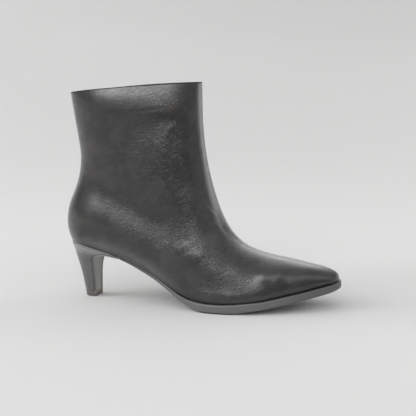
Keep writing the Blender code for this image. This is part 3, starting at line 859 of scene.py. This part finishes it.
class Graph:
    """The nodes of a material or of the world, with short names for the kinds that are used here."""

    def __init__(self, name, kind=bpy.data.materials, shader="Principled BSDF"):
        self.holder = kind.new(name)
        self.holder.use_nodes = True
        self.tree = self.holder.node_tree
        self.shader = self.tree.nodes[shader]
        self.place = self.scaled(self.node("ShaderNodeTexCoord").outputs["Object"], 1.0 / MM)

    def node(self, kind, *values, **inputs):
        """A new node with its inputs set, the first ones in their order and others by name."""
        made = self.tree.nodes.new(kind)
        for socket, value in zip(made.inputs, values):
            self.set(socket, value)
        for name, value in inputs.items():
            self.set(made.inputs[name.replace("_", " ")], value)
        return made

    def set(self, socket, value):
        if isinstance(value, bpy.types.NodeSocket):
            self.tree.links.new(value, socket)
        else:
            socket.default_value = value

    def scaled(self, vector, factor):
        made = self.node("ShaderNodeVectorMath", vector)
        made.operation = "SCALE"
        made.inputs["Scale"].default_value = factor
        return made.outputs[0]

    def stretched(self, size, lean_deg=0.0, centre=(0.0, 0.0, 0.0)):
        """The place about a centre, along axes that lean up towards the toe, in units of the size."""
        turn = (0.0, -math.radians(lean_deg), 0.0)
        made = self.node("ShaderNodeMapping", self.place, Location=centre, Rotation=turn, Scale=size)
        made.vector_type = "TEXTURE"
        return made.outputs[0]

    def stroke(self, row):
        """1 along a fine straight line on the outer side, falling softly to 0 at its ends and sides."""
        start = np.array([row.x0, row.z0])
        run = np.array([row.x1, row.z1]) - start
        middle = start + 0.5 * run
        centre = (middle[0] - CENTRE[0], 0.0, middle[1] - CENTRE[2])
        size = (0.5 * np.hypot(*run), 1.0, row.half_width)
        lean_deg = math.degrees(math.atan2(run[1], run[0]))
        along, aside, across = self.parts(self.stretched(size, lean_deg, centre))
        mask = self.math("MULTIPLY", self.near(along, 0.0, 1.0), self.near(across, 0.0, 1.0))
        return self.math("MULTIPLY", mask, self.math("LESS_THAN", aside, 0.0))

    def parts(self, vector):
        """The three coordinates of a vector."""
        return self.node("ShaderNodeSeparateXYZ", vector).outputs

    def noise(self, vector, scale, detail=2.0, roughness=0.5, distortion=0.0):
        made = self.node(
            "ShaderNodeTexNoise",
            Vector=vector,
            Scale=scale,
            Detail=detail,
            Roughness=roughness,
            Distortion=distortion,
        )
        return made.outputs["Fac"]

    def cells(self, vector, scale):
        return self.node("ShaderNodeTexVoronoi", Vector=vector, Scale=scale).outputs["Distance"]

    def math(self, operation, a, b=0.0, c=0.0):
        made = self.node("ShaderNodeMath", a, b, c)
        made.operation = operation
        return made.outputs[0]

    def span(self, value, low, high, to_low=0.0, to_high=1.0):
        """Takes values from low to high over to another range, with soft ends."""
        made = self.node(
            "ShaderNodeMapRange", Value=value, From_Min=low, From_Max=high, To_Min=to_low, To_Max=to_high
        )
        made.interpolation_type = "SMOOTHSTEP"
        return made.outputs["Result"]

    def blend(self, share, first, second):
        """A colour between two colours."""
        made = self.tree.nodes.new("ShaderNodeMix")
        made.data_type = "RGBA"
        self.set(made.inputs["Factor"], share)
        for socket, value in zip((made.inputs[6], made.inputs[7]), (first, second)):
            self.set(socket, value if isinstance(value, bpy.types.NodeSocket) else (*value, 1.0))
        return made.outputs[2]

    def near(self, value, middle, width):
        """1 where the value is at the middle, falling softly to 0 at the width on both sides."""
        return self.span(self.math("ABSOLUTE", self.math("SUBTRACT", value, middle)), 0.0, width, 1.0, 0.0)

    def axis(self, name):
        """One coordinate of the place, in millimetres."""
        return self.parts(self.place)[name]

    def attribute(self, name):
        made = self.tree.nodes.new("ShaderNodeAttribute")
        made.attribute_name = name
        return made.outputs["Fac"]

    def bump(self, height, distance_mm, under=None):
        made = self.node("ShaderNodeBump", Height=height, Strength=1.0, Distance=distance_mm * MM)
        if under is not None:
            self.set(made.inputs["Normal"], under)
        return made.outputs["Normal"]

    def finish(self, **inputs):
        for name, value in inputs.items():
            if isinstance(value, tuple):
                value = (*value, 1.0)
            self.set(self.shader.inputs[name.replace("_", " ")], value)
        return self.holder


# Colours of the finishes, in linear light
LEATHER_COLD = (0.0115, 0.0114, 0.0135)
LEATHER_WARM = (0.0310, 0.0280, 0.0262)
# Painted shade beside the front seam
SEAM_SHADE_DARK = (0.006, 0.006, 0.006)
SEAM_SHADE_PALE = (0.012, 0.011, 0.011)
LINING_DARK = (0.010, 0.0095, 0.009)
LINING_PALE = (0.020, 0.019, 0.018)
SOLE_DARK = (0.150, 0.148, 0.148)
SOLE_PALE = (0.200, 0.197, 0.195)
# Painted shade: the sole's edge darker at the waist and towards the toe
SOLE_WAIST_SHADE = (0.135, 0.133, 0.133)
SOLE_TOE_SHADE = (0.085, 0.085, 0.088)
# Painted highlight along the sole's top edge
SOLE_EDGE_HIGHLIGHT = (0.38, 0.378, 0.385)
# Painted contact shadow along the bottom of the sole's edge
SOLE_CONTACT_SHADOW = (0.02, 0.02, 0.02)
HEEL_DARK = (0.105, 0.103, 0.105)
HEEL_PALE = (0.175, 0.172, 0.170)
HEEL_CLOUD = (0.20, 0.195, 0.19)
# Painted light on the heel's side towards its rim
HEEL_RIM_LIGHT = (0.36, 0.355, 0.355)
# Painted shade in the heel's grooves
HEEL_GROOVE_SHADE = (0.02, 0.019, 0.02)
PANEL_DARK = (0.31, 0.30, 0.285)
PANEL_PALE = (0.38, 0.368, 0.345)
# Painted shade on the far side of the heel's breast panel
PANEL_FAR_SHADE = (0.22, 0.215, 0.205)
TIP_DARK = (0.115, 0.113, 0.112)
TIP_PALE = (0.185, 0.178, 0.172)
TIP_SCUFF = (0.42, 0.34, 0.25)
SOCK_DARK = (0.018, 0.0175, 0.017)
SOCK_PALE = (0.032, 0.030, 0.029)

# Where the finishes change, as from and to or as a middle and a width, in millimetres: places in the frame,
# drops below the seat, or distances from the edge of the heel's breast
FOREFOOT = (-45.0, 5.0)
TOE = (60.0, 115.0)
HIGHLIGHT_FADES = (20.0, 80.0)
HIGHLIGHT_DROPS = (0.1, 0.8)
CONTACT_SHADOW_LINE = (0.9, 1.5)
RIM_LIGHT_DROPS = (0.0, 13.0)
RIM_LINE = (1.3, 0.4)
SIDE_GROOVE = (1.55, 0.75)
PANEL_GROOVE = (-1.15, 0.70)
PANEL_STARTS = (-1.7, -1.3)
PANEL_FAR_SIDE = (1.5, 4.0)
SCUFF_ALONG = (-97.5, 2.4)
SCUFF_UP = (5.0, 3.0)


def leather_finish():
    """Smooth black leather with a soft sheen, fine grain, and wrinkles where it has been worked."""
    g = Graph("black_leather")
    wrinkle = g.math("MULTIPLY_ADD", g.attribute("wrinkle"), 0.80, 0.20)
    creased = g.noise(g.stretched((5.6, 3.0, 1.7), 35.0), 1.0, 4.0, 0.62, 0.8)
    ridged = g.math("ABSOLUTE", g.math("SUBTRACT", creased, 0.5))
    broken = g.math("MULTIPLY", g.span(ridged, 0.0, 0.16), wrinkle)
    swell = g.noise(g.place, 0.045, 2.0, 0.5)
    pebble = g.cells(g.place, 1.15)
    pore = g.noise(g.place, 3.4, 3.0, 0.6)
    lines = 0.0
    for row in CRINKLES:
        lines = g.math("MULTIPLY_ADD", g.stroke(row), row.height, lines)
    normal = g.bump(swell, 0.45)
    normal = g.bump(broken, 0.17, normal)
    normal = g.bump(lines, 1.0, normal)
    normal = g.bump(pebble, 0.030, normal)
    normal = g.bump(pore, 0.012, normal)
    warm = g.span(g.noise(g.place, 0.055, 4.0, 0.6), 0.40, 0.66)
    colour = g.blend(warm, LEATHER_COLD, LEATHER_WARM)
    for row in SCRATCHES:
        colour = g.blend(g.stroke(row), colour, (row.height, row.height, row.height))
    mottle = g.noise(g.stretched((9.0, 7.0, 6.0), 35.0), 1.0, 4.0, 0.65)
    worn = g.math("MULTIPLY_ADD", g.noise(g.place, 0.11, 3.0, 0.6), 0.16, 0.32)
    roughness = g.math("MULTIPLY_ADD", wrinkle, 0.05, worn)
    return g.finish(
        Base_Color=colour,
        Roughness=roughness,
        Specular_IOR_Level=0.25,
        Normal=normal,
        Coat_Weight=g.span(mottle, 0.3, 0.7, 0.80, 1.0),
        Coat_Roughness=0.28,
        Coat_IOR=1.62,
        Coat_Normal=normal,
    )


def seam_painted_shade_finish():
    """Painted shade: a dark matt finish on the inner panel's strip beside the front seam."""
    g = Graph("seam_painted_shade")
    shade_mottle = g.noise(g.place, 1.2, 3.0, 0.6)
    colour = g.blend(shade_mottle, SEAM_SHADE_DARK, SEAM_SHADE_PALE)
    return g.finish(Base_Color=colour, Roughness=0.85, Specular_IOR_Level=0.05, Normal=g.bump(shade_mottle, 0.04))


def lining_finish():
    """Dark lining leather, matt and finely grained."""
    g = Graph("lining")
    grain = g.cells(g.place, 1.6)
    cloud = g.noise(g.place, 0.08, 3.0, 0.6)
    colour = g.blend(cloud, LINING_DARK, LINING_PALE)
    return g.finish(Base_Color=colour, Roughness=0.8, Specular_IOR_Level=0.3, Normal=g.bump(grain, 0.05))


def sole_finish():
    """Dark grey rubber with painted shade at the waist and toe, a painted highlight along its top edge, and
    a painted contact shadow along its bottom.
    """
    g = Graph("sole_rubber")
    cloud = g.noise(g.place, 0.10, 4.0, 0.6)
    speck = g.noise(g.place, 2.2, 3.0, 0.7)
    forefoot = g.span(g.axis("X"), *FOREFOOT)
    edge = g.blend(cloud, SOLE_DARK, SOLE_PALE)
    # Painted shade: darker at the waist and towards the toe
    colour = g.blend(forefoot, SOLE_WAIST_SHADE, edge)
    colour = g.blend(g.span(g.axis("X"), *TOE, 0.0, 0.6), colour, SOLE_TOE_SHADE)
    # Painted highlight: a pale line along the top edge of the forefoot's sole, fading towards the toe
    rubbed = g.math("MULTIPLY", g.span(g.attribute("drop"), *HIGHLIGHT_DROPS, 1.0, 0.0), forefoot)
    rubbed = g.math("MULTIPLY", rubbed, g.span(g.axis("X"), *HIGHLIGHT_FADES, 1.0, 0.2))
    colour = g.blend(g.math("MULTIPLY", rubbed, 0.4), colour, SOLE_EDGE_HIGHLIGHT)
    # Painted contact shadow: a near-black band along the bottom of the sole's edge, just above the floor
    tread = g.span(g.axis("Z"), *CONTACT_SHADOW_LINE, 1.0, 0.0)
    colour = g.blend(tread, colour, SOLE_CONTACT_SHADOW)
    normal = g.bump(speck, 0.03)
    return g.finish(Base_Color=colour, Roughness=g.span(cloud, 0.3, 0.7, 0.42, 0.56), Normal=normal)


def heel_finish():
    """Dark satin cover with fine level streaks and a paler panel at the breast inside a bead, with painted
    shade in its grooves and on the panel's far side, and painted light towards its rim.
    """
    g = Graph("heel_cover")
    edge = g.attribute("edge")
    streak = g.noise(g.stretched((17.0, 17.0, 0.4)), 1.0, 4.0, 0.65)
    cloud = g.noise(g.place, 0.12, 3.0, 0.6)
    grooves = g.math("MAXIMUM", g.near(edge, *SIDE_GROOVE), g.near(edge, *PANEL_GROOVE))
    rim_line = g.near(g.attribute("drop"), *RIM_LINE)
    pressed = g.math("MAXIMUM", grooves, rim_line)
    side = g.blend(streak, HEEL_DARK, HEEL_PALE)
    side = g.blend(g.span(cloud, 0.4, 0.75, 0.0, 0.35), side, HEEL_CLOUD)
    # Painted light: the side grows paler towards the rim
    side = g.blend(g.span(g.attribute("drop"), *RIM_LIGHT_DROPS, 0.85, 0.0), side, HEEL_RIM_LIGHT)
    panel = g.blend(cloud, PANEL_DARK, PANEL_PALE)
    # Painted shade: the breast panel is darker on its far side
    panel = g.blend(g.span(g.axis("Y"), *PANEL_FAR_SIDE, 0.0, 0.5), panel, PANEL_FAR_SHADE)
    colour = g.blend(g.span(edge, *PANEL_STARTS, 1.0, 0.0), side, panel)
    # Painted shade: the grooves and the rim line are darkened nearly to black
    colour = g.blend(g.math("MULTIPLY", pressed, 0.85), colour, HEEL_GROOVE_SHADE)
    normal = g.bump(streak, 0.05)
    normal = g.bump(g.math("SUBTRACT", 1.0, pressed), 0.30, normal)
    return g.finish(
        Base_Color=colour,
        Roughness=g.span(streak, 0.3, 0.7, 0.38, 0.54),
        Normal=normal,
        Sheen_Weight=0.3,
        Sheen_Roughness=0.4,
    )


def tip_finish():
    """Matt rubber, rubbed pale at its front corner."""
    g = Graph("tip_rubber")
    speck = g.noise(g.place, 0.8, 4.0, 0.7)
    colour = g.blend(speck, TIP_DARK, TIP_PALE)
    scuff = g.math("MULTIPLY", g.near(g.axis("X"), *SCUFF_ALONG), g.near(g.axis("Z"), *SCUFF_UP))
    colour = g.blend(g.math("MULTIPLY", scuff, 0.9), colour, TIP_SCUFF)
    return g.finish(Base_Color=colour, Roughness=0.6, Normal=g.bump(speck, 0.06))


def sock_finish():
    """Plain sock lining, softly dented."""
    g = Graph("sock_lining")
    grain = g.cells(g.place, 1.4)
    dent = g.noise(g.place, 0.05, 2.0, 0.5)
    colour = g.blend(dent, SOCK_DARK, SOCK_PALE)
    return g.finish(Base_Color=colour, Roughness=0.7, Normal=g.bump(grain, 0.05, g.bump(dent, 0.8)))


# Studio: a pale sweep whose wall is a little darker than its floor, and two dark cards that only the sheen
# of the boot shows. Metres and watts. The last column of a light says whether it lights matt surfaces or is
# there for the sheen alone.
SWEEP_COLOUR = (0.845, 0.845, 0.84)
WALL_COLOUR = (0.775, 0.775, 0.77)
WALL_FROM = 0.2
WALL_FULL = 1.2
SWEEP_FRONT = -4.0
SWEEP_BEND = 0.6
SWEEP_RADIUS = 1.8
SWEEP_TOP = 4.0
SWEEP_HALF_WIDTH = 5.0
SWEEP_STEPS = 9
BACK_FLAG_CORNERS = ((1.25, 0.25, 0.38), (0.45, 1.15, 0.38), (0.45, 1.15, 0.85), (1.25, 0.25, 0.85))
FLAG_CORNERS = ((-0.07, -0.28, 0.001), (0.28, -0.14, 0.001), (0.62, -0.48, 0.25), (-0.11, -0.78, 0.18))
FLAG_COLOUR = (0.22, 0.22, 0.22)
Light = namedtuple("Light", "name place aim width height watts matt")
LIGHTS = (
    Light("key", (-0.46, -1.72, 1.45), (0.0, 0.0, 0.08), 2.2, 0.65, 29.0, False),
    Light("key_tail", (0.95, -1.05, 1.15), (0.0, 0.0, 0.08), 1.2, 0.6, 2.9, False),
    Light("key_top", (-0.46, -1.72, 1.94), (0.0, 0.0, 0.19), 2.2, 0.25, 6.0, False),
    Light("left", (-3.40, -0.80, 1.60), (0.0, 0.0, 0.0), 2.8, 2.4, 80.0, True),
    Light("right_fill", (1.40, 0.90, 0.70), (0.0, 0.0, 0.0), 1.2, 0.9, 5.3, True),
    Light("front_high", (-0.20, -1.60, 1.30), (0.0, 0.0, 0.0), 1.8, 0.8, 5.3, True),
    Light("front_fill", (1.70, -0.60, 0.80), (0.0, 0.0, 0.0), 1.4, 1.2, 2.0, True),
    Light("bounce", (-0.105, -0.055, 0.002), (-0.105, -0.055, 1.0), 0.11, 0.04, 0.010, False),
    Light("overhead", (0.20, 0.00, 2.00), (0.0, 0.0, 0.0), 3.2, 2.4, 8.0, False),
    Light("back_top", (0.31, 1.40, 1.12), (0.0, 0.0, 0.05), 1.6, 0.9, 5.0, False),
    Light("back_low", (0.10, 1.50, 0.50), (0.0, 0.0, 0.05), 1.8, 0.4, 3.0, False),
    Light("right", (1.50, 0.25, 0.90), (0.0, 0.0, 0.08), 2.0, 0.9, 2.6, False),
    Light("left_panel", (-1.70, -1.40, 0.95), (0.0, 0.0, 0.10), 2.6, 0.7, 3.0, False),
    Light("rim_right", (0.85, 1.05, 0.24), (0.0, 0.0, 0.14), 0.6, 0.36, 0.5, False),
    Light("rim_left", (-0.90, 1.00, 0.45), (0.0, 0.0, 0.10), 0.5, 0.7, 0.9, False),
)
ROOM_COLOUR = (1.0, 1.0, 1.0)
ROOM_SHEEN = 0.30
ROOM_FILL = 0.60
ROOM_FILL_FROM = 0.05
ROOM_FILL_FULL = 0.55


def make_sweep():
    """A floor that curves up into a plain wall far behind the boot."""
    profile = [(SWEEP_FRONT, 0.0), (SWEEP_BEND, 0.0)]
    for turn in np.linspace(0.0, 0.5 * math.pi, SWEEP_STEPS + 1)[1:]:
        profile.append((SWEEP_BEND + SWEEP_RADIUS * math.sin(turn), SWEEP_RADIUS * (1.0 - math.cos(turn))))
    profile.append((SWEEP_BEND + SWEEP_RADIUS, SWEEP_TOP))
    points = [(side * SWEEP_HALF_WIDTH, y, z) for y, z in profile for side in (-1.0, 1.0)]
    faces = [(2 * i, 2 * i + 1, 2 * i + 3, 2 * i + 2) for i in range(len(profile) - 1)]
    data = bpy.data.meshes.new("sweep")
    data.from_pydata(points, [], faces)
    data.shade_smooth()
    g = Graph("sweep_paper")
    far = g.span(g.axis("Y"), WALL_FROM / MM, WALL_FULL / MM)
    colour = g.blend(far, SWEEP_COLOUR, WALL_COLOUR)
    data.materials.append(g.finish(Base_Color=colour, Roughness=0.9, Specular_IOR_Level=0.2))
    sweep = linked("sweep", data)


def make_flag(name, corners):
    """A dark card beside the boot, which only the sheen of the leather shows."""
    data = bpy.data.meshes.new(name)
    data.from_pydata(corners, [], [(0, 1, 2, 3)])
    g = Graph("flag_card")
    data.materials.append(g.finish(Base_Color=FLAG_COLOUR, Roughness=0.9, Specular_IOR_Level=0.0))
    flag = linked(name, data)
    flag.visible_camera = False
    flag.visible_diffuse = False
    flag.visible_shadow = False


def point_at(made, place, aim):
    """Puts a light or the camera at a place and turns it towards its aim."""
    made.location = place
    made.rotation_mode = "QUATERNION"
    made.rotation_quaternion = (Vector(aim) - Vector(place)).to_track_quat("-Z", "Y")


def make_lights():
    """The studio's lights, which the camera doesn't see."""
    for row in LIGHTS:
        lamp = bpy.data.lights.new(row.name, "AREA")
        lamp.shape = "RECTANGLE"
        lamp.size = row.width
        lamp.size_y = row.height
        lamp.energy = row.watts
        made = linked(row.name, lamp)
        made.visible_diffuse = row.matt
        made.visible_glossy = not row.matt
        made.visible_camera = False
        point_at(made, row.place, row.aim)


def make_room():
    """The even light of the room, which reaches matt surfaces from above and not from low down."""
    g = Graph("room", bpy.data.worlds, "Background")
    height = g.parts(g.node("ShaderNodeTexCoord").outputs["Generated"])["Z"]
    fill = g.span(height, ROOM_FILL_FROM, ROOM_FILL_FULL, 0.0, ROOM_FILL)
    matt = g.node("ShaderNodeLightPath").outputs["Is Diffuse Ray"]
    bpy.context.scene.world = g.finish(Color=ROOM_COLOUR, Strength=g.span(matt, 0.0, 1.0, ROOM_SHEEN, fill))


# Camera, worked out from the photograph: its place and aim in the last's frame in millimetres, and its
# focal length in pixels of the 416 pixel frame
CAMERA_PLACE = (273.2, -705.5, 206.0)
CAMERA_AIM = (129.7, 0.0, 84.6)
FOCAL_PIXELS = 825.0
FRAME_PIXELS = 416.0
SENSOR_MM = 36.0
CLIP_START = 0.01


def make_camera():
    """The camera at the photograph's angle."""
    lens = bpy.data.cameras.new("camera")
    lens.sensor_fit = "HORIZONTAL"
    lens.sensor_width = SENSOR_MM
    lens.lens = SENSOR_MM * FOCAL_PIXELS / FRAME_PIXELS
    lens.clip_start = CLIP_START
    made = linked("camera", lens)
    point_at(made, placed(CAMERA_PLACE), placed(CAMERA_AIM))
    bpy.context.scene.camera = made


bpy.context.scene.view_settings.view_transform = "Standard"
make_camera()
make_sweep()
make_flag("flag", FLAG_CORNERS)
make_flag("back_flag", BACK_FLAG_CORNERS)
make_lights()
make_room()
make_upper(leather_finish(), lining_finish(), seam_painted_shade_finish())
make_outsole(sole_finish())
make_heel(heel_finish())
make_tip(tip_finish())
make_insole(sock_finish())
